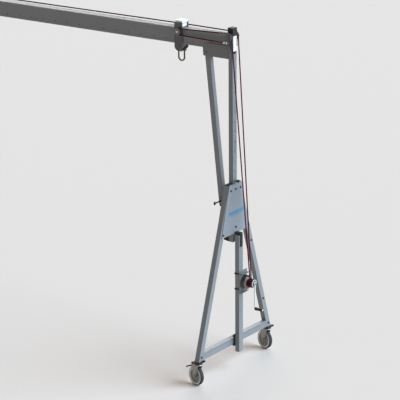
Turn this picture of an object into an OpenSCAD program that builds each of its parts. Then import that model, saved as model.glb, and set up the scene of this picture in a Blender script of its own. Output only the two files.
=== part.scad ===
// Portable gantry crane. Millimetres, +Z up, beam along X.
// The origin is on the floor, midway between the two A-frames.

/* [Layout] */
// Distance between the centre planes of the two A-frames
frame_span = 4000; // [3000:50:4600]
// Height of the base beams' top faces above the floor
base_top = 290; // [285:1:300]
// Half width between the legs' outer edges at the base beam's top
leg_spread = 550; // [540:1:620]
// Height of the underside of the beam above the floor
beam_z = 2878; // [2870:1:2890]

/* [Frame] */
// Width of a leg across its face, level with the floor
leg_w = 56; // [50:1:60]
// Depth of the legs and base beams along the beam's direction
frame_d = 47; // [46:1:50]
// Inward run of a leg for each unit of height
leg_slope = 0.3256; // [0.32:0.0001:0.33]
// Height of a base beam
base_h = 63; // [50:1:65]
// Wall of the tubes
wall = 4; // [3:0.5:5]
// Lower edge of the gusset plates
gusset_z0 = 1251; // [1240:1:1260]
// Upper edge of the gusset plates
gusset_z1 = 1699; // [1690:1:1705]
// Thickness of the gusset plates
gusset_t = 6; // [5:0.5:6]

/* [Mast] */
// Width of a mast across the beam
mast_w = 60; // [58:1:60]
// Depth of a mast along the beam
mast_d = 44; // [42:1:44]
// Lower end of the masts
mast_z0 = 1170; // [1160:1:1180]
// Upper end of the masts
mast_z1 = 3060; // [3050:1:3062]
// Pitch of the locking holes
hole_pitch = 87.5; // [87.5]
// Height of the lock plungers
lock_z = 1724; // [1722:1:1726]

/* [Beam] */
// Height of the beam
beam_h = 140; // [138:1:142]
// Width of the beam
beam_w = 80; // [78:1:80]
// Width of the knee struts, which are square
strut_w = 48; // [44:1:48]

/* [Trolley] */
// Distance of the trolley from the right frame's centre plane
trolley_in = 528; // [400:1:3400]
// Length of the trolley's side plates
trolley_l = 82; // [76:1:90]

/* [Casters] */
// Diameter of the wheels
wheel_dia = 175; // [170:1:176]
// Width of the wheels
wheel_w = 36; // [30:1:38]
// Direction in which the wheels trail, turned from the beam's direction
trail_angle = 162.5; // [0:0.5:360]

/* [Hidden] */
$fn = 48;

// The crank reaches out further than the casters' pedals do, so the plane midway between
// the frames lies mid_x on the -X side of the origin, which is the whole crane's middle.
post_gap = 17;                     // between the frame's outer face and the winch post
post_d = 43;                       // depth of the post
drum_gap = 10;                     // between the post and the drum
drum_l = 98;                       // from there to the ratchet
crank_gap = 7;                     // between the ratchet and the crank's hub
grip_end = 90;                      // outer end of the crank's spindle, from its hub
pedal_end = 151;
pedal_half = 20.5;
crank_reach = frame_d / 2 + post_gap + post_d + drum_gap + drum_l + crank_gap + grip_end;
pedal_reach = pedal_end * abs(cos(trail_angle)) + pedal_half * abs(sin(trail_angle));
mid_x = (crank_reach - pedal_reach) / 2;
frame_x = frame_span / 2 - mid_x;  // centre plane of the right frame
face_x = frame_x + frame_d / 2;    // its outer face
back_x = frame_x - frame_d / 2;    // its inner face
leg_z0 = base_top - 69;            // lower ends of the legs
leg_z1 = gusset_z1 - 4;            // upper ends of the legs
mast_back = frame_x - mast_d / 2;
beam_top = beam_z + beam_h;
aluminium = [0.62, 0.66, 0.70];
dark = [0.13, 0.13, 0.14];
steel = [0.75, 0.76, 0.77];
rope_red = [0.45, 0.05, 0.09];

function leg_out(z) = leg_spread - leg_slope * (z - base_top);
function leg_in(z) = leg_out(z) - leg_w;

// An outline in (y, z) extruded from x0 to x1
module across(x0, x1) {
  translate([x0, 0, 0])
    rotate([90, 0, 90])
      linear_extrude(x1 - x0)
        children();
}

// An outline in (x, z) extruded from y0 to y1
module along(y0, y1) {
  translate([0, y1, 0])
    rotate([90, 0, 0])
      linear_extrude(y1 - y0)
        children();
}

module box(lo, hi) {
  translate(lo)
    cube(hi - lo);
}

module rod_x(x0, x1, y, z, r) {
  translate([x0, y, z])
    rotate([0, 90, 0])
      cylinder(h = x1 - x0, r = r);
}

module rod_y(x, y0, y1, z, r) {
  translate([x, y0, z])
    rotate([-90, 0, 0])
      cylinder(h = y1 - y0, r = r);
}

// The place on the left frame that matches x on the right one
function left_x(x) = -2 * mid_x - x;

// Copies for the left frame are mirrored
module left() {
  translate([-2 * mid_x, 0, 0])
    mirror([1, 0, 0])
      children();
}

// ---- A-frames ----
module leg_outline(inset) {
  polygon([
    [leg_in(leg_z0) + inset, leg_z0 - (inset > 0 ? 1 : 0)],
    [leg_out(leg_z0) - inset, leg_z0 - (inset > 0 ? 1 : 0)],
    [leg_out(leg_z1) - inset, leg_z1 - inset],
    [leg_in(leg_z1) + inset, leg_z1 - inset]
  ]);
}

module legs() {
  color(aluminium)
    for (side = [0, 1])
      mirror([0, side, 0])
        difference() {
          across(back_x, face_x)
            leg_outline(0);
          across(back_x + wall, face_x - wall)
            leg_outline(wall);
        }
}

module base_beam() {
  y0 = leg_in(base_top);
  y1 = leg_in(base_top - base_h);
  color(aluminium)
    difference() {
      across(back_x, face_x)
        polygon([[-y0, base_top], [y0, base_top], [y1, base_top - base_h], [-y1, base_top - base_h]]);
      box([back_x + wall, -y1 + 1, base_top - base_h + wall], [face_x - wall, y1 - 1, base_top - wall]);
      box([face_x - 1.5, -y1, base_top - 19], [face_x + 1, y1, base_top - 15]);
    }
}

module gusset_outline() {
  y0 = leg_out(gusset_z0) - 18;
  y1 = leg_out(gusset_z1) + 2;
  polygon([[-y0, gusset_z0], [y0, gusset_z0], [y1, gusset_z1], [-y1, gusset_z1]]);
}

slot_w = 66;                       // slot for the strut lugs in the inner plate
slot_top = gusset_z0 + 345;
plunger_r = 5;

module gussets() {
  color([0.60, 0.65, 0.70]) {
    difference() {
      union() {
        across(face_x, face_x + gusset_t)
          gusset_outline();
        box([face_x, -18, gusset_z1 - 10], [face_x + gusset_t, 18, lock_z + 16]);
        rod_x(face_x, face_x + 16, 0, lock_z, 11);
      }
      rod_x(face_x - 1, face_x + 17, 0, lock_z, plunger_r + 0.1);
    }
    difference() {
      across(back_x - gusset_t, back_x)
        gusset_outline();
      box([back_x - gusset_t - 1, -slot_w / 2, gusset_z0 - 1], [back_x + 1, slot_w / 2, slot_top]);
    }
  }
}

// Nylon blocks that hold the mast sideways, two high and two low
module guides() {
  gap = 0.4;
  top0 = gusset_z1 - 74;
  top1 = gusset_z1 - 14;
  low0 = gusset_z0 + 16;
  low1 = gusset_z0 + 76;
  y0 = mast_w / 2 + gap;
  color([0.9, 0.9, 0.88])
    for (side = [0, 1])
      mirror([0, side, 0]) {
        across(back_x, face_x)
          polygon([[y0, top0], [leg_in(top0), top0], [leg_in(top1), top1], [y0, top1]]);
        box([back_x, y0, low0], [face_x, y0 + 42, low1]);
      }
}

// A bolt head with its washer, on a face that looks along +X
module bolt_x(x, y, z, r) {
  rod_x(x, x + 1.6, y, z, r * 1.15);
  translate([x + 1.6, y, z])
    rotate([0, 90, 0])
      cylinder(h = r * 0.7, r = r, $fn = 6);
}

gusset_bolts = [[-75, 1648], [0, 1650], [75, 1648], [0, 1307], [-197, 1278], [197, 1278]];

module frame_bolts() {
  for (p = gusset_bolts)
    bolt_x(face_x + gusset_t, p[0], p[1], 8);
  for (p = [[-533, base_top - 30], [533, base_top - 30], [447, base_top + 228], [250, base_top + 827]])
    bolt_x(face_x, p[0], p[1], 8);
  for (side = [0, 1])
    mirror([0, side, 0])
      mirror([1, 0, 0])
        for (p = [[75, 1648], [197, 1278]])
          bolt_x(-back_x + gusset_t, p[0], p[1], 8);
}

module right_fixings() {
  color(dark) {
    frame_bolts();
    post_clamp();
    post_top_link();
    post_bands();
  }
}

module left_fixings() {
  color(dark)
    left()
      frame_bolts();
}

king_y = leg_spread - 3;
plate_t = 9;

module caster_plates() {
  color(dark)
    for (side = [-1, 1])
      translate([frame_x, side * king_y, 0]) {
        box([-42, -50, leg_z0 - plate_t], [42, 50, leg_z0]);
        translate([0, 0, leg_z0 - plate_t - 10])
          cylinder(h = 10, r = 36);
        translate([0, 0, leg_z0 - plate_t - 30])
          cylinder(h = 21, r = 8);
        for (dx = [-33, 33], dy = [-40, 40])
          translate([dx, dy, leg_z0])
            cylinder(h = 6, r = 8, $fn = 6);
      }
}

// ---- Winch post, in front of the right base beam ----
post_x0 = face_x + post_gap;
post_x1 = post_x0 + post_d;
post_w = 62;
post_z0 = base_top - 126;
post_z1 = gusset_z0 - 11;

module winch_post() {
  color(aluminium)
    difference() {
      box([post_x0, -post_w / 2, post_z0], [post_x1, post_w / 2, post_z1]);
      box([post_x0 + wall, wall - post_w / 2, post_z0 - 1],
        [post_x1 - wall, post_w / 2 - wall, post_z1 - wall]);
    }
}

// Saddle between the base beam and the post, with its clamp knobs
module post_clamp() {
  half = post_w / 2 - 2;
  box([face_x, -half, base_top - base_h - 12], [post_x0, half, base_top + 32]);
  for (z = [base_top + 20, base_top - base_h - 2], side = [0, 1])
    mirror([0, side, 0])
      rod_y(face_x + 8, half, half + 18, z, 8);
}

// Strap down the front of the post from a block on the outer gusset plate
module post_top_link() {
  box([face_x + gusset_t, -19, post_z1 + 4], [post_x1 + 4, 19, gusset_z0 + 12]);
  box([post_x1, -19, post_z1 - 105], [post_x1 + 4, 19, post_z1 + 4]);
}

winch_z = base_top + 515;
winch_y = 35;
drum_x = post_x1 + drum_gap;

// Two bands that clamp the winch bracket to the post
module post_bands() {
  for (z = [winch_z + 85, winch_z - 55])
    difference() {
      box([post_x0 - 4, -post_w / 2 - 5, z - 6], [post_x1, post_w / 2 + 5, z + 6]);
      box([post_x0, -post_w / 2, z - 7], [post_x1 + 1, post_w / 2, z + 7]);
    }
}

bracket_z0 = winch_z - 92;
bracket_z1 = winch_z + 110;
bracket_y0 = -28;
bracket_y1 = 86;
shelf_z = winch_z + 82;             // top of the upper flange
shaft_r = 8;

module winch_bracket() {
  color([0.62, 0.66, 0.70])
    difference() {
      union() {
        box([post_x1, bracket_y0, bracket_z0], [post_x1 + 5, bracket_y1, bracket_z1]);
        box([post_x1, bracket_y0, shelf_z - 5], [post_x1 + 30, bracket_y1, shelf_z]);
        box([post_x1, bracket_y0, bracket_z0], [post_x1 + 26, bracket_y1, bracket_z0 + 5]);
        rod_x(post_x1 + 4, drum_x - 0.5, winch_y, winch_z, 20);
        rod_x(post_x1 + 4, pawl_x1 + 2, pawl_y, pawl_z, 7);
        for (z = [bracket_z0 + 18, bracket_z1 - 14])
          bolt_x(post_x1 + 5, -4, z, 8);
      }
      rod_x(post_x1 - 1, drum_x, winch_y, winch_z, shaft_r + 0.06);
    }
}

// ---- Winch: everything on one shaft along X ----
flange_r = 60;
drum_r = 21;
wound_r = 30;                      // outside of the rope wound on the drum
wound_x0 = drum_x + 42;            // inner face of the drum's flange
ratchet_x = drum_x + drum_l;
ratchet_t = 5;
tooth_r = 41;                      // tips of the ratchet's teeth
pawl_x1 = ratchet_x + ratchet_t;
pawl_y = winch_y - 52;
pawl_z = winch_z + 80;

module winch_drum() {
  color([0.50, 0.50, 0.50]) {
    rod_x(post_x1 + 1, crank_x + 18, winch_y, winch_z, shaft_r);
    rod_x(drum_x, drum_x + 34, winch_y, winch_z, flange_r - 4);
    rod_x(drum_x + 34, wound_x0, winch_y, winch_z, flange_r);
    rod_x(wound_x0, ratchet_x, winch_y, winch_z, drum_r);
    rod_x(ratchet_x - 4, ratchet_x, winch_y, winch_z, 38);
  }
}

module drum_rope() {
  color(rope_red)
    difference() {
      rod_x(wound_x0 + 1, ratchet_x - 5, winch_y, winch_z, wound_r);
      rod_x(wound_x0, ratchet_x - 4, winch_y, winch_z, drum_r);
    }
}

teeth = 16;

module ratchet_disc() {
  color([0.80, 0.82, 0.80])
    difference() {
      across(ratchet_x, ratchet_x + ratchet_t)
        translate([winch_y, winch_z])
          polygon([for (i = [0:teeth - 1], e = [0, 1])
            let (a = (i + 0.9 * e) * 360 / teeth, r = e == 0 ? tooth_r - 6 : tooth_r)
              r * [cos(a), sin(a)]]);
      rod_x(ratchet_x - 1, ratchet_x + 10, winch_y, winch_z, shaft_r);
    }
}

crank_x = ratchet_x + crank_gap;
crank_len = 229;
arm_x = crank_x + 3;
arm_half = 8;

module winch_crank() {
  color([0.85, 0.86, 0.86])
    difference() {
      union() {
        rod_x(ratchet_x + ratchet_t, crank_x, winch_y, winch_z, 34);
        rod_x(crank_x, crank_x + 15, winch_y, winch_z, 14);
        box([arm_x, winch_y - arm_half, winch_z - crank_len], [arm_x + 7, winch_y + arm_half, winch_z]);
        rod_x(arm_x, arm_x + 7, winch_y, winch_z - crank_len, arm_half + 1);
        rod_x(arm_x + 2, crank_x + grip_end, winch_y, winch_z - crank_len, 5);
        rod_x(crank_x + grip_end - 4, crank_x + grip_end, winch_y, winch_z - crank_len, 9);
      }
      rod_x(ratchet_x + ratchet_t - 1, crank_x + 16, winch_y, winch_z, shaft_r);
    }
}

module crank_grip() {
  color(dark)
    translate([arm_x + 7.5, winch_y, winch_z - crank_len])
      rotate([0, 90, 0])
        rotate_extrude()
          polygon([[5.06, 0], [14, 0], [15.5, 10], [12.5, 38], [15.5, 66], [13, 75], [5.06, 75]]);
}

// The nose points at the ratchet and stands clear of its teeth
module winch_pawl() {
  reach = norm([pawl_y - winch_y, pawl_z - winch_z]) - tooth_r - 1;
  color(dark)
    difference() {
      across(ratchet_x + 0.5, pawl_x1 - 0.5)
        translate([pawl_y, pawl_z])
          rotate(atan2(winch_z - pawl_z, winch_y - pawl_y))
            union() {
              circle(12);
              polygon([[0, -9], [reach, -3], [reach, 3], [0, 9]]);
              polygon([[-36, -4], [0, -7], [0, 7], [-36, 4]]);
            }
      rod_x(ratchet_x - 1, ratchet_x + 10, pawl_y, pawl_z, 7.06);
    }
}

// ---- Masts ----
sheave_x = frame_x - 8;
sheave_z = base_top + 2707;
sheave_r = 34;
axle_r = 8;
lug_x = back_x - 83;               // strut pin
lug_z = base_top + 1237;
pin_r = 6;
foot_l = 55;

module mast() {
  color(aluminium)
    difference() {
      union() {
        box([mast_back, -mast_w / 2, mast_z0], [mast_back + mast_d, mast_w / 2, mast_z1]);
        for (side = [-1, 1])
          translate([0, side * 27.3, 0])
            along(-2.7, 2.7)
              polygon([
                [mast_back, lug_z - 52], [mast_back, lug_z + 52],
                [lug_x - 20, lug_z + 26], [lug_x - 20, lug_z - 26]
              ]);
      }
      box([mast_back + wall, wall - mast_w / 2, mast_z0 - 1],
        [mast_back + mast_d - wall, mast_w / 2 - wall, mast_z1 - wall]);
      for (k = [0:11])
        rod_x(mast_back - 1, frame_x + mast_d, 0, lock_z + k * hole_pitch, plunger_r + 0.4);
      rod_y(lug_x, -40, 40, lug_z, pin_r + 0.08);
      rod_y(sheave_x, -40, 40, sheave_z, axle_r + 0.05);
    }
}

module right_mast() {
  mast();
}

module left_mast() {
  left()
    mast();
}

// ---- Beam, a hollow section with lips along its edges ----
beam_end = mast_back;
beam_dip = 3;                      // depth of the sides between the lips

module beam() {
  half = beam_w / 2;
  lip = 13;
  dip = beam_dip;
  color(aluminium)
    difference() {
      across(left_x(beam_end), beam_end)
        polygon([
          [-half, beam_z], [half, beam_z], [half, beam_z + lip], [half - dip, beam_z + lip + dip],
          [half - dip, beam_top - lip - dip], [half, beam_top - lip], [half, beam_top],
          [-half, beam_top], [-half, beam_top - lip], [dip - half, beam_top - lip - dip],
          [dip - half, beam_z + lip + dip], [-half, beam_z + lip]
        ]);
      for (z = [[beam_z + 7, beam_z + 66], [beam_z + 72, beam_top - 7]])
        box([left_x(beam_end) - 1, dip + 5 - half, z[0]], [beam_end + 1, half - dip - 5, z[1]]);
    }
}

knee_x0 = face_x - 300;
knee_x1 = face_x - 20;
knee_z0 = base_top + 2518;

strut_lean = 0.106;                // run towards the beam's middle for each unit of height
function strut_x(z) = lug_x - (z - lug_z) * strut_lean;

// Side plates that join the beam, the mast and the strut, with packers inside
module knee() {
  for (side = [0, 1])
    mirror([0, side, 0]) {
      along(beam_w / 2, beam_w / 2 + 6)
        polygon([
          [knee_x0 + 6, knee_z0], [knee_x1, knee_z0], [knee_x1, beam_z + 45],
          [knee_x0 + 30, beam_z + 45], [knee_x0, beam_z + 10]
        ]);
      box([mast_back + 1, mast_w / 2, knee_z0], [knee_x1, beam_w / 2, beam_z - 1]);
      along(strut_w / 2, beam_w / 2)
        polygon([
          [strut_x(knee_z0) - 20, knee_z0], [strut_x(knee_z0) + 20, knee_z0],
          [strut_x(beam_z) + 20, beam_z - 1], [strut_x(beam_z) - 20, beam_z - 1]
        ]);
    }
}

module knee_brackets() {
  color([0.45, 0.46, 0.47]) {
    knee();
    left()
      knee();
  }
}

module strut() {
  z0 = base_top + 1200;
  z1 = beam_z;
  x0 = strut_x(z0);
  x1 = strut_x(z1);
  h = strut_w / 2 + 1;
  color(aluminium)
    difference() {
      along(-strut_w / 2, strut_w / 2)
        polygon([[x0 - h, z0], [x0 + h, z0], [x1 + h, z1], [x1 - h, z1]]);
      along(wall - strut_w / 2, strut_w / 2 - wall)
        polygon([
          [x0 - h + wall, z0 - 1], [x0 + h - wall, z0 - 1], [x1 + h - wall, z1 - wall],
          [x1 - h + wall, z1 - wall]
        ]);
      rod_y(lug_x, -40, 40, lug_z, pin_r + 0.08);
    }
}

module right_strut() {
  strut();
}

module left_strut() {
  left()
    strut();
}

// Cap on the mast, its front plate, and the stop at the mast's foot
module head() {
  front = mast_back + mast_d;
  difference() {
    box([mast_back - 6, -32, beam_top + 1], [front + 4, 32, mast_z1 + 17]);
    box([mast_back, -mast_w / 2, beam_top], [front, mast_w / 2, mast_z1]);
  }
  box([front, -32, beam_top - 13], [front + 4, 32, beam_top + 1]);
  along(-29, -24)
    polygon([
      [mast_back, mast_z0], [mast_back, mast_z0 + 60], [mast_back - foot_l, mast_z0 + 40],
      [mast_back - foot_l, mast_z0 + 8]
    ]);
}

module mast_heads() {
  color(dark) {
    head();
    left()
      head();
  }
}

strap_y = 64;                      // inner faces of the straps outside the head sheaves
strap_t = 4;
anchor_x = frame_x - 15.5;
anchor_y = strap_y + strap_t + 8;
near_anchor_z = base_top + 2663;
far_anchor_z = base_top + 2723;

// Axle of the head sheaves, the straps over its ends with the rope anchors, the bolts
// through the knee plates and the wear strip on the mast's outer face
module end_fixings() {
  rod_y(sheave_x, -74, 74, sheave_z, axle_r);
  for (side = [0, 1])
    mirror([0, side, 0]) {
      box([sheave_x - 14, strap_y, beam_z + 24], [sheave_x + 14, strap_y + strap_t, sheave_z + 45]);
      rod_y(sheave_x, beam_w / 2 + 6, strap_y, beam_z + 34, 6);
      for (p = [[knee_x1 - 12, beam_z - 20], [knee_x1 - 12, beam_z - 52], [knee_x0 + 36, beam_z - 40]])
        rod_y(p[0], beam_w / 2 + 6, beam_w / 2 + 12, p[1], 8);
      rod_y(anchor_x, strap_y + strap_t, anchor_y + 7, side == 0 ? far_anchor_z : near_anchor_z, 5);
    }
  box([frame_x + mast_d / 2, -24, base_top + 2585], [frame_x + mast_d / 2 + 3, 24, beam_top - 14]);
  rod_x(frame_x + mast_d / 2, frame_x + mast_d / 2 + 9, 0, base_top + 2573, 9);
}

module beam_fixings() {
  color(steel) {
    end_fixings();
    left()
      end_fixings();
  }
}

// A grooved sheave on an axle along Y. The rope's centre runs at pitch_r.
module sheave(y0, w, pitch_r, bore_r) {
  flange = 2.5;
  translate([0, y0, 0])
    rotate([-90, 0, 0])
      rotate_extrude()
        polygon([
          [bore_r, 0], [pitch_r + 5, 0], [pitch_r + 5, flange], [pitch_r - 6, flange],
          [pitch_r - 6, w - flange], [pitch_r + 5, w - flange], [pitch_r + 5, w], [bore_r, w]
        ]);
}

sheave_w = 18;
sheave_y = 50.5;

module near_head_sheave() {
  color(steel)
    translate([sheave_x, 0, sheave_z])
      sheave(-sheave_y - sheave_w / 2, sheave_w, sheave_r, axle_r + 0.06);
}

module far_head_sheave() {
  color(steel)
    translate([sheave_x, 0, sheave_z])
      sheave(sheave_y - sheave_w / 2, sheave_w, sheave_r, axle_r + 0.06);
}

// ---- Trolley ----
trolley_x = frame_x - trolley_in;
side_y0 = beam_w / 2 + 2.5;
side_y1 = side_y0 + 6;
trolley_top = beam_top + 47;
trolley_low = base_top + 2523;
wheel_r = 17;
wheel_dx = 18.5;
wheel_z = beam_top + wheel_r + 0.3;
pull_z = base_top + 2697;          // centre of the return sheave
pull_r = 27;
eye_z = trolley_low + 8;           // axis of the shackle pin

module trolley_plates() {
  r = trolley_l / 2;
  color([0.42, 0.43, 0.44])
    for (side = [0, 1])
      mirror([0, side, 0])
        difference() {
          along(side_y0, side_y1)
            union() {
              translate([trolley_x, trolley_low + r])
                circle(r);
              translate([trolley_x - r, trolley_low + r])
                square([trolley_l, trolley_top - trolley_low - r]);
            }
          for (dx = [-wheel_dx, wheel_dx])
            rod_y(trolley_x + dx, side_y0 - 1, side_y1 + 1, wheel_z, 6);
        }
}

// Roller axles, the sheave's axle, the cross bar and its lug
module trolley_fixings() {
  color(steel) {
    for (dx = [-wheel_dx, wheel_dx])
      rod_y(trolley_x + dx, -side_y1 - 0.5, side_y1 + 0.5, wheel_z, 6);
    rod_y(trolley_x, -side_y1 - 24, -side_y1, pull_z, 7);
    difference() {
      union() {
        box([trolley_x - 22, -side_y0, beam_z - 34], [trolley_x + 22, side_y0, beam_z - 8]);
        box([trolley_x - 10, -20, eye_z - 17], [trolley_x + 10, 20, beam_z - 30]);
      }
      rod_x(trolley_x - 11, trolley_x + 11, 0, eye_z, 8.5);
    }
    for (side = [0, 1])
      mirror([0, side, 0])
        rod_y(trolley_x, side_y1, side_y1 + 6, beam_z - 21, 9);
  }
}

module trolley_roller(dx) {
  color([0.93, 0.93, 0.91])
    translate([trolley_x + dx, -36, wheel_z])
      rotate([-90, 0, 0])
        rotate_extrude()
          polygon([
            [6.06, 0], [wheel_r - 2, 0], [wheel_r, 2], [wheel_r, 70], [wheel_r - 2, 72], [6.06, 72]
          ]);
}

module trolley_roller_left() {
  trolley_roller(-wheel_dx);
}

module trolley_roller_right() {
  trolley_roller(wheel_dx);
}

// Nylon block between the plates, above the rollers
module trolley_block() {
  color([0.93, 0.93, 0.91])
    box([trolley_x - 37, -side_y0, wheel_z + wheel_r + 3], [trolley_x + 37, side_y0, beam_top + 63]);
}

module trolley_sheave() {
  color([0.35, 0.35, 0.36])
    translate([trolley_x, 0, pull_z])
      sheave(-side_y1 - 20, sheave_w, pull_r, 7.06);
}

bow_r = 30;
bow_d = 12;
bow_drop = 70;

// Bow shackle, its two eyes on a pin along X
module shackle() {
  color([0.75, 0.62, 0.18])
    difference() {
      union() {
        for (side = [-1, 1])
          translate([trolley_x + side * bow_r, 0, eye_z - bow_drop])
            cylinder(h = bow_drop, d = bow_d);
        translate([trolley_x, 0, eye_z - bow_drop])
          rotate([90, 0, 0])
            intersection() {
              rotate_extrude()
                translate([bow_r, 0])
                  circle(d = bow_d);
              translate([-50, -50, -20])
                cube([100, 50, 40]);
            }
        for (side = [-1, 1])
          rod_x(trolley_x + side * bow_r - 7, trolley_x + side * bow_r + 7, 0, eye_z, 14);
      }
      rod_x(trolley_x - 60, trolley_x + 60, 0, eye_z, 8);
    }
}

module shackle_pin() {
  color(steel) {
    rod_x(trolley_x - 46, trolley_x + 46, 0, eye_z, 7.94);
    rod_x(trolley_x + 38, trolley_x + 46, 0, eye_z, 11);
  }
}

// ---- Height locks and strut pins ----
module lock_plunger() {
  tip = face_x - 1;
  color(dark) {
    rod_x(tip, tip + 32, 0, lock_z, plunger_r);
    rod_x(tip + 30, tip + 42, 0, lock_z, 12);
  }
}

module right_lock_plunger() {
  lock_plunger();
}

module left_lock_plunger() {
  left()
    lock_plunger();
}

module strut_pin() {
  color(dark) {
    rod_y(lug_x, -122, 33, lug_z, pin_r);
    translate([lug_x, -126, lug_z - 13])
      cylinder(h = 26, r = 8);
  }
}

module right_strut_pin() {
  strut_pin();
}

module left_strut_pin() {
  left()
    strut_pin();
}

// ---- Ropes, taut between their sheaves ----
rope_r = 5.5;

module taut(p, q) {
  d = q - p;
  translate(p)
    rotate([0, acos(d[2] / norm(d)), atan2(d[1], d[0])])
      cylinder(h = norm(d), r = rope_r, $fn = 24);
}

fall_x = sheave_x + sheave_r;

// The two falls from the winch drum to the head sheaves, the far one from the drum's far
// side and the near one from its near side, so that one winds in while the other pays out
module fall_ropes() {
  off = wound_r + rope_r + 0.3;
  color(rope_red) {
    taut([wound_x0 + 9, winch_y + off, winch_z], [fall_x, sheave_y, sheave_z]);
    taut([ratchet_x - 11, winch_y - off, winch_z], [fall_x, -sheave_y, sheave_z]);
  }
}

rope_top = sheave_z + sheave_r;

// Near rope to the trolley's return sheave and back to the anchor on the near strap; far
// rope past the trolley to the anchor on the left head's far strap
module trolley_ropes() {
  side_y = side_y1 + 11;
  color(rope_red) {
    taut([sheave_x, -sheave_y, rope_top], [trolley_x + 1, -side_y, pull_z + pull_r]);
    taut([trolley_x + 1, -side_y, pull_z - pull_r], [anchor_x - 5.5, -anchor_y, near_anchor_z]);
    taut([sheave_x, sheave_y, rope_top], [trolley_x + 41, sheave_y + 5, rope_top + 2]);
    taut([trolley_x - 41, sheave_y + 5, rope_top + 2], [left_x(anchor_x - 5.5), anchor_y, far_anchor_z]);
  }
}

// ---- Casters ----
wheel_radius = wheel_dia / 2;
trail = 28;
cheek_t = 4;
cheek_y = wheel_w / 2 + 3;
neck_z = leg_z0 - plate_t - 10.5;
axle_bolt_r = 6;
rim_r = wheel_radius - 9;
pedal_x = 62;
pedal_z = neck_z - 24;

// Places a caster: i is the frame, 1 right or -1 left, and j is 1 far or -1 near
module at_caster(i, j) {
  translate([i > 0 ? frame_x : left_x(frame_x), j * king_y, 0])
    rotate(trail_angle)
      children();
}

module fork(i, j) {
  color([0.60, 0.60, 0.55])
    at_caster(i, j)
      difference() {
        union() {
          translate([0, 0, neck_z - 12])
            cylinder(h = 12, r = 34);
          box([-26, -cheek_y - cheek_t, neck_z - 12], [50, cheek_y + cheek_t, neck_z - 7]);
          for (side = [0, 1])
            mirror([0, side, 0])
              along(cheek_y, cheek_y + cheek_t)
                polygon([
                  [-26, neck_z - 8], [58, neck_z - 8], [70, pedal_z - 8], [58, pedal_z - 14],
                  [trail + 15, wheel_radius - 12], [trail, wheel_radius - 18],
                  [trail - 15, wheel_radius - 10]
                ]);
          rod_y(trail, -cheek_y - cheek_t - 6, cheek_y + cheek_t + 6, wheel_radius, axle_bolt_r);
        }
        translate([0, 0, neck_z - 20])
          cylinder(h = 30, r = 8.1);
        rod_y(pedal_x, -cheek_y - 10, cheek_y + 10, pedal_z, 4);
      }
}

module rim(i, j) {
  h = wheel_w / 2;
  color([0.80, 0.80, 0.78])
    at_caster(i, j)
      translate([trail, h, wheel_radius])
        rotate([90, 0, 0])
          rotate_extrude()
            polygon([
              [axle_bolt_r + 0.06, -2], [18, -2], [18, 7], [rim_r - 10, 7], [rim_r - 6, 1],
              [rim_r, 1], [rim_r, wheel_w - 1], [rim_r - 6, wheel_w - 1],
              [rim_r - 10, wheel_w - 7], [18, wheel_w - 7], [18, wheel_w + 2],
              [axle_bolt_r + 0.06, wheel_w + 2]
            ]);
}

module tyre(i, j) {
  color([0.16, 0.16, 0.17])
    at_caster(i, j)
      translate([trail, wheel_w / 2, wheel_radius])
        rotate([90, 0, 0])
          rotate_extrude($fn = 96)
            polygon([
              [rim_r, 1], [rim_r + 2, 0], [wheel_radius - 4, 3], [wheel_radius - 1, 8],
              [wheel_radius, wheel_w / 2 - 6], [wheel_radius, wheel_w / 2 + 6],
              [wheel_radius - 1, wheel_w - 8], [wheel_radius - 4, wheel_w - 3],
              [rim_r + 2, wheel_w], [rim_r, wheel_w - 1]
            ]);
}

// Brake pedal on a pin between the fork's cheeks
module brake(i, j) {
  color(dark)
    at_caster(i, j) {
      rod_y(pedal_x, -cheek_y - cheek_t - 3, cheek_y + cheek_t + 3, pedal_z, 3.95);
      along(-pedal_half, pedal_half)
        polygon([
          [pedal_x - 6, pedal_z - 4], [pedal_x + 4, pedal_z - 7], [pedal_end - 4, pedal_z - 45],
          [pedal_end, pedal_z - 34], [pedal_x + 8, pedal_z + 4], [pedal_x - 4, pedal_z + 5]
        ]);
    }
}

module fork_rn() {
  fork(1, -1);
}

module rim_rn() {
  rim(1, -1);
}

module tyre_rn() {
  tyre(1, -1);
}

module brake_rn() {
  brake(1, -1);
}

module fork_rf() {
  fork(1, 1);
}

module rim_rf() {
  rim(1, 1);
}

module tyre_rf() {
  tyre(1, 1);
}

module brake_rf() {
  brake(1, 1);
}

module fork_ln() {
  fork(-1, -1);
}

module rim_ln() {
  rim(-1, -1);
}

module tyre_ln() {
  tyre(-1, -1);
}

module brake_ln() {
  brake(-1, -1);
}

module fork_lf() {
  fork(-1, 1);
}

module rim_lf() {
  rim(-1, 1);
}

module tyre_lf() {
  tyre(-1, 1);
}

module brake_lf() {
  brake(-1, 1);
}

module right_legs() {
  legs();
}

module left_legs() {
  left()
    legs();
}

module right_base_beam() {
  base_beam();
}

module left_base_beam() {
  left()
    base_beam();
}

module right_gussets() {
  gussets();
}

module left_gussets() {
  left()
    gussets();
}

module right_guides() {
  guides();
}

module left_guides() {
  left()
    guides();
}

module right_caster_plates() {
  caster_plates();
}

module left_caster_plates() {
  left()
    caster_plates();
}

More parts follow.
